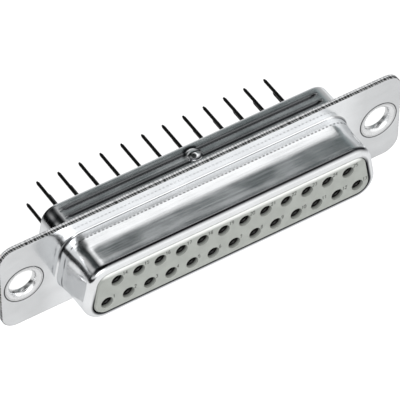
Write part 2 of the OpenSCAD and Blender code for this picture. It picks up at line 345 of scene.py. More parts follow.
def flange_patches(outline, half_w, half_h, corner, cut_x, hole_x, radii, levels, roll):
    """The plate round a drawn D.  Its middle part is ruled from the D's foot out to a rectangle
    that ends at x = +-cut_x; each ear is ruled from its round hole out to its own border, at the
    angle each border point has round the hole.  The border rolls over on the first level."""
    part = outline.part
    front, back = levels
    turned = np.radians(np.linspace(0, 90, 5))
    towards = 1 if back > front else -1
    inset = np.r_[roll * (1 - np.sin(turned)), 0.0]
    depth = np.r_[front + towards * roll * (1 - np.cos(turned)), back]
    share_x = outline.centres[:, 0]
    rows = []
    for d, y in zip(inset, depth):
        p = np.zeros((len(part), 3))
        p[:, 1] = y
        for tag, sign in ((0, -1), (2, 1)):
            m = part == tag
            p[m, 0] = share_x[m] / np.abs(share_x[m]).max() * cut_x
            p[m, 2] = sign * (half_h - d)
        for tag, sign in ((1, 1), (3, -1)):
            m = part == tag
            f = (np.arange(m.sum()) + 1) / (m.sum() + 1)
            p[m, 0] = sign * cut_x
            p[m, 2] = sign * (half_h - d) * (2 * f - 1)
        rows.append(p)
    middle = np.array(rows)

    n_side = int((part == 1).sum())
    ears = []
    for sign in (1, -1):
        loops = []
        for d, y in zip(inset, depth):
            f = (np.arange(n_side) + 1) / (n_side + 1)
            cut = np.column_stack((np.full(n_side, cut_x), (half_h - d) * (1 - 2 * f)))
            r = corner - d
            cx, cz = half_w - corner, half_h - corner
            border = chain(
                line((cut_x, -(half_h - d)), (cx, -(half_h - d)), 14),
                arc(cx, -cz, r, -90, 0, 14),
                line((half_w - d, -cz), (half_w - d, cz), 22),
                arc(cx, cz, r, 0, 90, 14),
                line((cx, half_h - d), (cut_x, half_h - d), 14),
            )
            loop = np.vstack((border, cut))
            loops.append(np.column_stack((sign * loop[:, 0], np.full(len(loop), y), loop[:, 1])))
        n_border = len(border)
        outer = np.array(loops)
        angle = np.arctan2(outer[0, :, 2], outer[0, :, 0] - sign * hole_x)

        def circle(r, y):
            """The hole's circle of radius r at depth y, one point for each border point."""
            x, z = sign * hole_x + r * np.cos(angle), r * np.sin(angle)
            return np.column_stack((x, np.full(len(angle), y), z))

        inner = [circle(radii[1], back), circle(radii[0], front)]
        inner += [circle(radii[0] + gap, front) for gap in HOLE_RINGS]
        mid = 0.9 * outer[0] + 0.1 * inner[-1]
        ear = np.concatenate((np.array(inner + [mid]), outer))
        quads = grid_faces(len(ear), ear.shape[1])
        keep = np.ones(quads.shape[:2], dtype=bool)
        keep[len(inner) + 1:-1, n_border - 1:] = False
        ears.append((ear.reshape(-1, 3), quads[keep]))
    return middle, ears


def drawn_shell(outline, outside, inside, middle, ears, name, material, relief=None):
    """A drawn sheet: the section's outside carried round the D, the plate and its border, and the
    section's inside back to the start, closed both ways and welded to the ears."""
    out_rows = outline.loops(outside)
    if relief is not None:
        out_rows = relief(outline, outside, out_rows)
    in_rows = outline.loops(inside)
    rows = np.concatenate((out_rows, middle, in_rows))
    quads = grid_faces(len(rows), rows.shape[1])
    keep = np.ones(quads.shape[:2], dtype=bool)
    first, last = len(out_rows), len(out_rows) + len(middle) - 1
    part = outline.part
    side = (part == 1) | (part == 3)
    touches_side = side | np.roll(side, -1)
    keep[first:last, touches_side] = False
    points, faces = [rows.reshape(-1, 3)], [quads[keep]]
    base = rows.shape[0] * rows.shape[1]
    for p, q in ears:
        points.append(p)
        faces.append(q + base)
        base += len(p)
    return make_object(name, np.vstack(points), np.vstack(faces), material, weld=True)


def rolled_section(corner, root, rim, lip, sheet, depth, plate, away, flare=0.0, reach=1.0, swell=0.0):
    """Section of a drawn wall as (s, depth): lip, turned-in rim, wall and root bend, first along
    the outside and then back along the inside.  away is the way the wall leaves the plate.  Towards
    the root the wall spreads at the angle flare * (1 - 3u^2 + 2u^3), u running from 0 to 1 over the
    second half of the reach, and at the depth swell it leans by a seventh of that for a short way."""
    wall = line((corner, depth - rim), (corner, root), 64)
    u = np.clip(2 * wall[:, 1] / reach - 1, 0, 1)
    lean = np.tan(flare * (1 - 3 * u**2 + 2 * u**3))
    lean += np.tan(flare / 7) * bell(wall[:, 1] - swell, SWELL_WIDTH)
    wall[:, 0] += np.cumsum(lean * np.abs(np.diff(wall[:, 1], prepend=wall[0, 1])))
    foot = wall[-1, 0]
    root_s, rim_s, lip_s = foot + root, corner - rim, corner - rim - lip
    edge = CUT_EDGE_SHARE * sheet
    foot_end = root_s + ROOT_FLAT
    outside = chain(
        arc(lip_s + edge, depth - edge, edge, 180, 90, 5),
        line((lip_s + edge, depth), (rim_s, depth), 4),
        arc(rim_s, depth - rim, rim, 90, 0, 14),
        wall,
        arc(root_s, root, root, 180, 270, 12),
        line((root_s, 0.0), (foot_end, 0.0), 2),
    )
    t = sheet
    inside = chain(
        line((foot_end, -t), (root_s, -t), 2),
        arc(root_s, root, root + t, 270, 180, 8),
        line((foot - t, root), (corner - t, depth - rim), 4),
        arc(rim_s, depth - rim, rim - t, 0, 90, 6),
        line((rim_s, depth - t), (lip_s + edge, depth - t), 2),
        arc(lip_s + edge, depth - t + edge, edge, 270, 180, 5),
    )
    outside[:, 1] = plate + away * outside[:, 1]
    inside[:, 1] = plate + away * inside[:, 1]
    return outside, inside


def skirt_relief(s):
    """Presses the skirt's long sides: a groove is the part of a rod of radius r that sinks below
    the wall, sqrt(r^2 - v^2) - (r - depth); the boss is a ball's cap, sqrt(R^2 - q^2) - (R - h)."""

    def press(outline, section, rows):
        x, y = rows[..., 0], rows[..., 1]
        r = s.groove_radius
        ball = (s.boss_radius**2 + s.boss_height**2) / (2 * s.boss_height)
        on_wall = np.abs(section[:, 0] - s.skirt_corner) < 1e-9
        flat = np.isin(outline.part, (0, 2))[None] & on_wall[:, None]
        end = np.where(outline.part == 0, s.skirt_width / 2 - s.skirt_corner, 0)
        end = np.where(outline.part == 2, np.abs(outline.centres[:, 0][outline.part == 2]).max(), end)
        shift = np.zeros_like(x)
        for place in (s.groove_front, s.groove_rear):
            over = np.maximum(np.abs(x) - (end[None] - GROOVE_END - r), 0)
            v = np.hypot(y - place, over)
            shift -= np.maximum(np.sqrt(np.maximum(r**2 - v**2, 0)) - (r - s.groove_depth), 0)
        q = np.hypot(x, y - s.boss_place)
        cap = np.sqrt(np.maximum(ball**2 - q**2, 0)) - (ball - s.boss_height)
        shift = np.where(q < s.boss_radius, np.maximum(cap, 0), shift)
        shift = np.where(flat, shift, 0)
        out = rows.copy()
        out[..., 0] += shift * outline.normals[None, :, 0]
        out[..., 2] += shift * outline.normals[None, :, 1]
        return out

    return press


def soil_front(obj, s, outline, depth, head):
    """Painted dark of the front shell: painted dark reflections along a line round the collar's foot, in the
    crease round the D's upper corners and on the rim's upper edge, and painted shadow in the gap round the
    insulator below and on the right and round the rivets' edges."""
    x, y, z = points_of(obj).T
    # a painted dark reflection along a line round the collar's foot
    drawn = 0.9 * bell(y + s.draw_line, REFLECTION_LINE_HALF)
    # a painted dark reflection in the root's crease round the D's upper corners, stronger on the left
    corners = rise(np.abs(x), s.collar_width / 2 - 2.4 * MM, 0.6 * MM) * rise(z, 0.8 * MM, MM)
    crease = np.where(x < 0, 1.0, 0.6) * corners * bell(y + 0.12 * MM, CREASE_REFLECTION_HALF) * (y < -0.01 * MM)
    # a painted dark reflection along the rim's upper edge
    rim = rise(z, 2.6 * MM, 0.8 * MM) * bell(y + depth - 0.52 * MM, RIM_REFLECTION_HALF)

    # painted shadow in the gap round the insulator
    lip_s = s.collar_corner - s.collar_rim - s.collar_lip + 0.08 * MM
    lip = outline.loops(np.array([[lip_s, 0.0]]))[0]
    gap = np.full(len(x), 1.0)
    close = y < 0.3 * MM - depth
    gap[close] = np.hypot(x[close, None] - lip[:, 0], z[close, None] - lip[:, 2]).min(axis=1)
    # low: where the painted shadow in the gap falls, below and on the right
    low = np.clip((1.5 * MM - z) / (2 * MM) + (x > 17 * MM), 0, 1)

    # painted shadow in the seat gap round each rivet's head
    hole = np.hypot(np.abs(x) - PITCH_HOLES / 2, z)
    rivet = bell(hole - head, RIVET_SHADOW_HALF) * (y < 0.05 * MM)
    mark(obj, drawn + crease + rim + low * bell(gap, GAP_SHADOW_HALF) + rivet)


class CONNECTOR_OT_front_shell(bpy.types.Operator):
    """Add the front shell: flange sheet, drawn collar and turned-in rim"""

    bl_idname = "connector.front_shell"
    bl_label = "Front Shell"

    def execute(self, context):
        s = context.scene.connector_shells
        trim = context.scene.connector_trim
        depth = -SHELL_LOW[1]
        outline = Outline(
            s.collar_width, s.collar_height, s.collar_corner, s.slant,
            n_long=60, n_corner=16, n_side=12,
        )
        outside, inside = rolled_section(
            s.collar_corner, s.collar_root, s.collar_rim, s.collar_lip, s.sheet, depth, plate=0.0, away=-1,
            flare=s.collar_flare, reach=s.flare_reach, swell=s.collar_swell,
        )
        head = BORE + trim.rivet_funnel + trim.rivet_edge + HOLE_GAP
        middle, ears = flange_patches(
            outline, SHELL_HIGH[0], SHELL_HIGH[2], s.flange_corner, EAR_CUT_FRONT, PITCH_HOLES / 2,
            (head, head - s.sheet), (0.0, s.sheet), s.edge_roll,
        )
        obj = drawn_shell(outline, outside, inside, middle, ears, "front_shell_sheet", plated_sheet())
        shear_edge(obj, SHELL_HIGH[0], SHELL_HIGH[2], s.flange_corner, s.edge_roll)
        soil_front(obj, s, outline, depth, head)
        finish_piece(obj, "tin_shell", "front_shell")
        return {"FINISHED"}


def soil_rear(obj, s, outline, plate):
    """Painted dark of the rear shell: painted shade in the grooves, painted shade and dark reflections round
    and across the bosses, and a painted dark reflection over the left end's upper corner but for two spots
    left bright as painted highlights."""
    x, y, z = points_of(obj).T
    # the outer face of the long sides, the grooves' walls included
    top = np.abs(z) > s.skirt_height / 2 - 0.75 * s.groove_depth - 0.5 * s.sheet
    end = outline.centres[outline.part == 2][:, 0].max()
    # painted shade in and beside the grooves
    front = bell(y - s.groove_front - 0.08 * MM, GROOVE_SHADE_HALF)
    rear = 0.95 * bell(y - s.groove_rear - 0.1 * MM, GROOVE_SHADE_HALF)
    grooves = rise(end - np.abs(x), -0.1 * MM, 0.15 * MM) * np.maximum(front, rear)

    # dx, dy and q run from 0 at a boss's middle to 1 at its foot
    dx, dy = x / s.boss_radius, (y - s.boss_place) / s.boss_radius
    q = np.hypot(dx, dy)
    # painted shade and painted dark reflections round and across each boss
    ring = bell(np.hypot(x, y - s.boss_place) - s.boss_radius, BOSS_SHADE_HALF)
    far = np.clip(1.8 * (0.97 * dy - 0.24 * dx) / (q + 1e-6), 0, 1) * bell(q - 1.14, 0.42)
    near = np.clip(-1.8 * dy / (q + 1e-6), 0, 1) * bell(q - 0.88, 0.32)
    across = bell(dy + 0.02, 0.2) * (q < 0.85)
    right = 0.65 * bell(dx - 0.65, 0.5)
    on_boss = np.maximum.reduce((far, near, across, right))
    beside = np.maximum.reduce((grooves, 0.6 * ring, far))

    # a painted dark reflection over the left end's upper corner, with two spots spared as painted highlights
    fold = rise(-x, end, 0.5 * MM) * rise(z, 3.6 * MM, 0.8 * MM) * (y > plate)
    highlight_spots = bell(np.hypot(y - 1.6 * MM, z - 4.6 * MM), 0.7 * MM)
    highlight_spots += 0.4 * bell(np.hypot(y - 3 * MM, z - 4.9 * MM), 0.8 * MM)
    fold *= 0.85 * (1 - np.clip(highlight_spots, 0, 1))
    mark(obj, np.where(q < 0.95, on_boss, beside) * top + fold)


class CONNECTOR_OT_rear_shell(bpy.types.Operator):
    """Add the rear shell: flange sheet and skirt with its grooves and bosses"""

    bl_idname = "connector.rear_shell"
    bl_label = "Rear Shell"

    def execute(self, context):
        s = context.scene.connector_shells
        trim = context.scene.connector_trim
        plate = 2 * s.sheet
        depth = REAR_HIGH[1] - plate
        outline = Outline(
            s.skirt_width, s.skirt_height, s.skirt_corner, s.slant,
            n_long=220, n_corner=14, n_side=12, pull=0.75,
        )
        outside, inside = rolled_section(
            s.skirt_corner, s.skirt_root, s.skirt_rim, s.skirt_lip, s.sheet, depth, plate, 1
        )
        hole = BORE + trim.rivet_wall + HOLE_GAP
        middle, ears = flange_patches(
            outline, REAR_HIGH[0], REAR_HIGH[2], s.flange_corner, EAR_CUT_REAR, PITCH_HOLES / 2,
            (hole, hole), (plate, s.sheet), s.edge_roll,
        )
        obj = drawn_shell(
            outline, outside, inside, middle, ears, "rear_shell_sheet", plated_sheet(), skirt_relief(s)
        )
        shear_edge(obj, REAR_HIGH[0], REAR_HIGH[2], s.flange_corner, s.edge_roll)
        soil_rear(obj, s, outline, plate)
        finish_piece(obj, "tin_shell", "rear_shell")
        return {"FINISHED"}


# ---------------------------------------------------------------- rivets


class CONNECTOR_OT_rivets(bpy.types.Operator):
    """Add the two hollow rivets with their funnels and rolled heads"""

    bl_idname = "connector.rivets"
    bl_label = "Hollow Rivets"

    def execute(self, context):
        s = context.scene.connector_shells
        trim = context.scene.connector_trim
        f, bore = trim.rivet_funnel, BORE
        head = bore + f + trim.rivet_edge
        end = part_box("rivet_right")[1][1]
        plates, roll, soft = 2 * s.sheet, trim.rivet_roll, trim.rivet_soft
        section = chain(
            arc(bore + f, f, f, 180, 270, 16),
            line((bore + f, 0.0), (head - soft, 0.0), 4),
            arc(head - soft, soft, soft, 270, 360, 5),
            line((head, soft), (head - s.sheet, s.sheet), 3),
            line((head - s.sheet, s.sheet), (bore + trim.rivet_wall, s.sheet), 3),
            line((bore + trim.rivet_wall, s.sheet), (bore + trim.rivet_wall, plates), 3),
            line((bore + trim.rivet_wall, plates), (roll - soft, plates), 3),
            arc(roll - 2.5 * soft, plates + 2.5 * soft, 2.5 * soft, 270, 360, 6),
            arc(roll - 2.5 * soft, end - 2.5 * soft, 2.5 * soft, 0, 90, 6),
            line((roll - 2.5 * soft, end), (bore + 2 * soft, end), 5),
            arc(bore + 2 * soft, end - 2 * soft, 2 * soft, 90, 180, 6),
        )
        t = np.linspace(0, 2 * pi, 96, endpoint=False)
        for side, name in ((-1, "rivet_left"), (1, "rivet_right")):
            rad, dep = section[:, 0, None], section[:, 1, None]
            x = side * PITCH_HOLES / 2 + rad * np.cos(t)
            z = rad * np.sin(t)
            y = np.broadcast_to(dep, x.shape)
            points = np.stack((x, y, z), axis=-1).reshape(-1, 3)
            quads = grid_faces(len(section), len(t)).reshape(-1, 4)
            obj = make_object(name + "_barrel", points, quads, rivet_plate())
            # painted shadow round the head, most of it at the upper left, and a trace of painted shade at
            # the funnel's mouth
            x, y, z = points_of(obj).T
            x = x - side * PITCH_HOLES / 2
            rad = np.hypot(x, z)
            shade = 0.45 + 0.55 * np.clip((z - x) / rad, 0, 1)
            rim = shade * bell(rad - head, 0.16 * MM) * (y < s.sheet)
            mouth = 0.35 * bell(rad - bore - f, 0.08 * MM) * (y < f)
            mark(obj, rim + mouth)
            finish_piece(obj, "rivet_metal", name)
        return {"FINISHED"}


# ---------------------------------------------------------------- numbers

# each digit as strokes, in a field 0.6 wide and 1 high
STROKES = {
    "0": [[(0, 0.25), (0.08, 0.06), (0.3, 0), (0.52, 0.06), (0.6, 0.25), (0.6, 0.75), (0.52, 0.94),
           (0.3, 1), (0.08, 0.94), (0, 0.75), (0, 0.25)]],
    "1": [[(0.12, 0.78), (0.36, 1), (0.36, 0)]],
    "2": [[(0.02, 0.76), (0.12, 0.95), (0.32, 1), (0.54, 0.9), (0.57, 0.68), (0.4, 0.42), (0, 0), (0.6, 0)]],
    "3": [[(0.02, 0.9), (0.3, 1), (0.55, 0.88), (0.55, 0.65), (0.28, 0.53), (0.58, 0.4), (0.58, 0.14),
           (0.3, 0), (0.02, 0.1)]],
    "4": [[(0.46, 0), (0.46, 1), (0, 0.3), (0.62, 0.3)]],
    "5": [[(0.55, 1), (0.08, 1), (0.04, 0.56), (0.3, 0.62), (0.57, 0.48), (0.58, 0.16), (0.3, 0),
           (0.02, 0.1)]],
    "6": [[(0.52, 0.94), (0.28, 0.98), (0.06, 0.7), (0.02, 0.28), (0.14, 0.04), (0.34, 0), (0.57, 0.14),
           (0.57, 0.42), (0.34, 0.56), (0.08, 0.42)]],
    "7": [[(0, 1), (0.6, 1), (0.22, 0)]],
    "8": [[(0.3, 0.54), (0.06, 0.68), (0.08, 0.92), (0.3, 1), (0.52, 0.92), (0.54, 0.68), (0.3, 0.54),
           (0.02, 0.36), (0.04, 0.1), (0.3, 0), (0.56, 0.1), (0.58, 0.36), (0.3, 0.54)]],
    "9": [[(0.06, 0.05), (0.3, 0.02), (0.54, 0.3), (0.58, 0.72), (0.46, 0.96), (0.26, 1), (0.03, 0.86),
           (0.03, 0.58), (0.26, 0.44), (0.52, 0.58)]],
}


DIGIT_WIDTH = 0.8  # of a digit's height
DIGIT_SPACING = 0.34 * MM
NUMBER_BESIDE = 0.78 * MM  # from a contact's axis to its number
UPPER_LIFT, LOWER_LIFT = 0.42 * MM, 0.3 * MM  # of the numbers of the upper and the lower row
SECOND_DIGIT_BACK = 0.07 * MM  # a number of two digits starts this much nearer its contact
RING_LID = np.array([[0, 1, 2, 3], [0, 3, 4, 7], [4, 5, 6, 7]])  # quads that close a ring of eight


def bead(path, face_y, half, proud):
    """A raised stroke: at each path point stands the half ellipse (half cos t, proud sin t) across
    the path, shrunk to nothing at the two ends as sqrt(1 - e^2) over the last half width."""
    path = np.array(path)
    step = np.r_[0.0, np.cumsum(np.linalg.norm(np.diff(path, axis=0), axis=1))]
    n = max(int(step[-1] / (0.6 * half)), 6)
    g = np.linspace(0, step[-1], n)
    round_end = half * np.array([0.05, 0.2, 0.5])
    g = np.unique(np.r_[g, round_end, step[-1] - round_end])
    p = np.column_stack((np.interp(g, step, path[:, 0]), np.interp(g, step, path[:, 1])))
    d = np.gradient(p, axis=0)
    d /= np.linalg.norm(d, axis=1)[:, None]
    across = np.column_stack((d[:, 1], -d[:, 0]))
    e = np.clip(1 - np.minimum(g, step[-1] - g) / half, 0, 1)
    size = np.sqrt(np.maximum(1 - e**2, 1e-4))
    t = np.linspace(0, 2 * pi, 8, endpoint=False)
    wide = half * np.cos(t)[None] * size[:, None]
    high = proud * np.sin(t)[None] * size[:, None]
    x = p[:, 0, None] + across[:, 0, None] * wide
    z = p[:, 1, None] + across[:, 1, None] * wide
    return np.stack((x, face_y - high, z), axis=-1)


class CONNECTOR_OT_numbers(bpy.types.Operator):
    """Add the small raised contact numbers on the mating face"""

    bl_idname = "connector.numbers"
    bl_label = "Contact Numbers"

    def execute(self, context):
        trim = context.scene.connector_trim
        h, half = trim.number_height, trim.number_stroke
        points, faces, base = [], [], 0
        for node in CONTACTS:
            number = str(int(node[-2:]))
            low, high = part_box(node)
            cx, cz = (low[0] + high[0]) / 2, (low[2] + high[2]) / 2
            for k, digit in enumerate(number):
                x0 = cx + NUMBER_BESIDE + k * DIGIT_SPACING - (len(number) - 1) * SECOND_DIGIT_BACK
                z0 = cz + (UPPER_LIFT if cz > 0 else LOWER_LIFT)
                for stroke in STROKES[digit]:
                    path = [(x0 + a * h * DIGIT_WIDTH, z0 + b * h) for a, b in stroke]
                    p = bead(path, MATING_FACE, half, trim.number_proud)
                    q = grid_faces(p.shape[0], p.shape[1], wrap_rows=False)
                    points.append(p.reshape(-1, 3))
                    last = base + (p.shape[0] - 1) * p.shape[1]
                    faces += [q.reshape(-1, 4) + base, RING_LID[:, ::-1] + base, RING_LID + last]
                    base += p.shape[0] * p.shape[1]
        obj = make_object("contact_numbers", np.vstack(points), np.vstack(faces), number_grey())
        finish_piece(obj, "insulator")
        return {"FINISHED"}


# ---------------------------------------------------------------- materials


def new_material(name):
    """An empty material with its output and a Principled shader."""
    if name in bpy.data.materials:
        return bpy.data.materials[name], None, None
    mat = bpy.data.materials.new(name)
    mat.use_nodes = True
    tree = mat.node_tree
    tree.nodes.clear()
    out = tree.nodes.new("ShaderNodeOutputMaterial")
    shader = tree.nodes.new("ShaderNodeBsdfPrincipled")
    tree.links.new(shader.outputs["BSDF"], out.inputs["Surface"])
    return mat, tree, shader


def node(tree, kind, links=(), **values):
    """A node of a kind, with its settings, and its inputs filled by name or number."""
    made = tree.nodes.new(kind)
    for key, value in values.items():
        setattr(made, key, value)
    for key, value in dict(links).items():
        if isinstance(value, bpy.types.NodeSocket):
            tree.links.new(value, made.inputs[key])
        else:
            made.inputs[key].default_value = value
    return made


def grain(tree, scale, stretch, detail=3.0, rough=0.55):
    """Noise on Object coordinates, stretched along the axes."""
    where = node(tree, "ShaderNodeTexCoord").outputs["Object"]
    spread = node(tree, "ShaderNodeMapping", {"Vector": where, "Scale": stretch})
    return node(
        tree, "ShaderNodeTexNoise",
        {"Vector": spread.outputs["Vector"], "Scale": scale, "Detail": detail, "Roughness": rough},
    ).outputs["Fac"]


def remap(tree, value, a, b, c, d):
    """value from the range a to b onto the range c to d, clamped."""
    return node(
        tree, "ShaderNodeMapRange",
        {"Value": value, "From Min": a, "From Max": b, "To Min": c, "To Max": d},
    ).outputs["Result"]


def tint(tree, fac, dark, light):
    """Colour between dark and light by fac."""
    ramp = tree.nodes.new("ShaderNodeValToRGB")
    ramp.color_ramp.elements[0].color = (*dark, 1)
    ramp.color_ramp.elements[1].color = (*light, 1)
    tree.links.new(fac, ramp.inputs["Fac"])
    return ramp.outputs["Color"]


def scaled(linear, k):
    """The colour k times as bright."""
    return tuple(min(c * k, 1.0) for c in linear)


def mottled(tree, fac, base, dark, light):
    """The base colour times dark to light, as the noise goes from 0.3 to 0.7."""
    return tint(tree, remap(tree, fac, 0.3, 0.7, 0, 1), scaled(base, dark), scaled(base, light))


def maths(tree, operation, a, b=None, c=None):
    """The result of one sum on numbers or sockets."""
    inputs = {i: value for i, value in enumerate((a, b, c)) if value is not None}
    return node(tree, "ShaderNodeMath", inputs, operation=operation).outputs[0]


def blend(tree, fac, first, second):
    """The first colour where fac is 0 and the second where it is 1."""
    return node(tree, "ShaderNodeMix", {0: fac, 6: first, 7: second}, data_type="RGBA").outputs[2]


def place(tree):
    """The Object coordinates as three outputs, X, Y and Z."""
    where = node(tree, "ShaderNodeTexCoord").outputs["Object"]
    return node(tree, "ShaderNodeSeparateXYZ", {"Vector": where}).outputs


def emboss(tree, shader, height, strength, distance):
    """Bumps the shader's surface by a height."""
    bump = node(tree, "ShaderNodeBump", {"Height": height, "Strength": strength, "Distance": distance})
    tree.links.new(bump.outputs["Normal"], shader.inputs["Normal"])


# the colour of painted shade, painted shadows and painted dark reflections
PAINTED_DARK_COLOUR = (0.012, 0.013, 0.016, 1)
DOT_PITCH = 0.5 * MM  # of the breaks in the painted dark reflection along the line at the collar's foot
TOOTH_PITCH = 0.36 * MM  # of the torn marks along a sheared edge
EAR_START, EAR_FULL = 18.5 * MM, 21.5 * MM  # where the ears' duller face begins and is complete
HIGHLIGHT_START, HIGHLIGHT_FULL = 2.4 * MM, 2.85 * MM  # the same for the painted highlight along the insulator's upper edge
MOUTH_START, MOUTH_FULL = -4.2 * MM, -5.1 * MM  # and for the contacts' painted shade in the insulator
TAIL_START, TAIL_FULL = 4.6 * MM, 5.2 * MM  # and for the painted dark reflection on their tails


def soiled(tree, clean):
    """The clean colour, or the colour of painted shade and painted dark reflections where the piece's mark
    is high;
    along the line at the collar's foot the painted reflection is cut into dots by sin(2 pi X / pitch)."""
    painted_dark = node(tree, "ShaderNodeAttribute", attribute_name="painted_dark", attribute_type="GEOMETRY").outputs["Fac"]
    where = place(tree)
    dots = maths(tree, "SINE", maths(tree, "MULTIPLY", where["X"], 2 * pi / DOT_PITCH))
    # the painted dark reflection along the line at the collar's foot is cut into dots; elsewhere the painted
    # dark is whole
    drawn = bpy.context.scene.connector_shells.draw_line
    beyond = maths(tree, "ABSOLUTE", maths(tree, "ADD", where["Y"], drawn))
    spared = remap(tree, beyond, 0.15 * MM, 0.2 * MM, 0, 1)
    dotted = maths(tree, "MAXIMUM", remap(tree, dots, -0.5, 0.5, 0.15, 1), spared)
    return blend(tree, maths(tree, "MULTIPLY", painted_dark, dotted), clean, PAINTED_DARK_COLOUR)


def plated_sheet():
    """Tin plate on drawn steel: drawn lines along the part, cloudy gloss and fine pits, and a
    duller face on the ears."""
    fin = bpy.context.scene.connector_finishes
    mat, tree, shader = new_material("plated_sheet")
    if tree is None:
        return mat
    lines = grain(tree, 1.0, (120, 5200, 5200), 4.0, 0.6)
    cloud = grain(tree, 420, (0.5, 1, 1), 2.0)
    pits = grain(tree, 5200, (1, 1, 1), 2.0)
    metal = mottled(tree, cloud, fin.sheet_colour, 0.94, 1.04)
    where = place(tree)
    ear = remap(tree, maths(tree, "ABSOLUTE", where["X"]), EAR_START, EAR_FULL, 0, 1)
    flat = remap(tree, where["Y"], -0.8 * MM, -0.1 * MM, 0, 0.22)
    mill = blend(tree, maths(tree, "MULTIPLY", ear, flat), metal, (0.1, 0.1, 0.1, 1))
    # painted shade and painted dark reflections on the shells, from each piece's mark
    plate = soiled(tree, mill)
    tree.links.new(plate, shader.inputs["Base Color"])
    tree.links.new(plate, shader.inputs["Specular Tint"])
    clouded = remap(tree, cloud, 0.35, 0.65, fin.sheet_rough - 0.04, fin.sheet_rough + 0.04)
    rough = maths(tree, "ADD", remap(tree, lines, 0.3, 0.7, 0.0, 0.10), clouded)
    tree.links.new(rough, shader.inputs["Roughness"])
    shader.inputs["Metallic"].default_value = 1.0
    emboss(tree, shader, maths(tree, "ADD", lines, pits), 0.05, 0.00002)
    return mat


def sheared_edge():
    """The sheet's cut edge: duller, with dark torn specks that run across the thickness.  The
    front sheet's are dark, the rear sheet's light."""
    fin = bpy.context.scene.connector_finishes
    mat, tree, shader = new_material("sheared_edge")
    if tree is None:
        return mat
    base = fin.sheet_colour
    where = place(tree)
    run = maths(tree, "ADD", where["X"], where["Z"])
    waver = grain(tree, 1.0, (1500, 400, 1500), 2.0, 0.5)
    turns = maths(tree, "MULTIPLY_ADD", run, 2 * pi / TOOTH_PITCH, remap(tree, waver, 0.3, 0.7, 0, 7))
    tears = remap(tree, maths(tree, "SINE", turns), -0.3, 0.3, 0, 1)
    fine = grain(tree, 1.0, (9000, 2500, 9000), 2.0)
    torn = tint(tree, tears, scaled(base, 0.01), scaled(base, 0.42))
    clean = tint(tree, tears, scaled(base, 0.5), scaled(base, 0.85))
    rear = remap(tree, where["Y"], 0.3 * MM, 0.4 * MM, 0, 1)
    tree.links.new(blend(tree, rear, torn, clean), shader.inputs["Base Color"])
    tree.links.new(remap(tree, fine, 0.3, 0.7, 0.4, 0.65), shader.inputs["Roughness"])
    shader.inputs["Metallic"].default_value = 0.3
    emboss(tree, shader, tears, 0.35, 0.00004)
    return mat


def rivet_plate():
    """Plated rivet: a cloudy gloss and a slightly duller tin."""
    fin = bpy.context.scene.connector_finishes
    mat, tree, shader = new_material("rivet_plate")
    if tree is None:
        return mat
    cloud = grain(tree, 900, (1, 1, 1), 3.0)
    metal = mottled(tree, cloud, fin.rivet_colour, 0.9, 1.05)
    # painted shadow round the head and painted shade at the funnel's mouth, from the rivet's mark
    tree.links.new(soiled(tree, metal), shader.inputs["Base Color"])
    tree.links.new(remap(tree, cloud, 0.3, 0.7, 0.2, 0.36), shader.inputs["Roughness"])
    shader.inputs["Metallic"].default_value = 1.0
    emboss(tree, shader, cloud, 0.15, 0.00003)
    return mat


def moulded_grey():
    """Glass-filled grey plastic: faint flow clouding and a fine satin skin, with a painted highlight along
    the upper edge of the mating face and painted shade inside its entries."""
    fin = bpy.context.scene.connector_finishes
    mat, tree, shader = new_material("moulded_grey")
    if tree is None:
        return mat
    cloud = grain(tree, 700, (1, 1, 1), 4.0)
    skin = grain(tree, 9000, (1, 1, 1), 3.0)
    plain = mottled(tree, cloud, fin.insulator_colour, 0.92, 1.06)
    where = place(tree)
    # a painted highlight along the upper edge of the mating face
    upper = remap(tree, where["Z"], HIGHLIGHT_START, HIGHLIGHT_FULL, 0, 0.85)
    face = remap(tree, where["Y"], MATING_FACE + 0.1 * MM, MATING_FACE + 0.2 * MM, 1, 0)
    edged = blend(tree, maths(tree, "MULTIPLY", upper, face), plain, (0.85, 0.86, 0.84, 1))
    # painted shade inside the contacts' entries
    sunk = remap(tree, where["Y"], MATING_FACE + 0.12 * MM, MATING_FACE + 0.5 * MM, 0, 0.9)
    before = remap(tree, where["Y"], -0.5 * MM, 0, 1, 0)
    inner = blend(tree, maths(tree, "MULTIPLY", sunk, before), edged, (0.03, 0.029, 0.026, 1))
    tree.links.new(inner, shader.inputs["Base Color"])
    tree.links.new(remap(tree, skin, 0.3, 0.7, 0.42, 0.6), shader.inputs["Roughness"])
    emboss(tree, shader, skin, 0.2, 0.00001)
    return mat


def number_grey():
    """The insulator's plastic on the raised numbers, darkened as painted shade."""
    fin = bpy.context.scene.connector_finishes
    mat, tree, shader = new_material("number_grey")
    if tree is None:
        return mat
    shade_mottle = grain(tree, 2500, (1, 1, 1), 3.0)
    tree.links.new(mottled(tree, shade_mottle, fin.insulator_colour, 0.2, 0.5), shader.inputs["Base Color"])
    tree.links.new(remap(tree, shade_mottle, 0.3, 0.7, 0.5, 0.7), shader.inputs["Roughness"])
    return mat


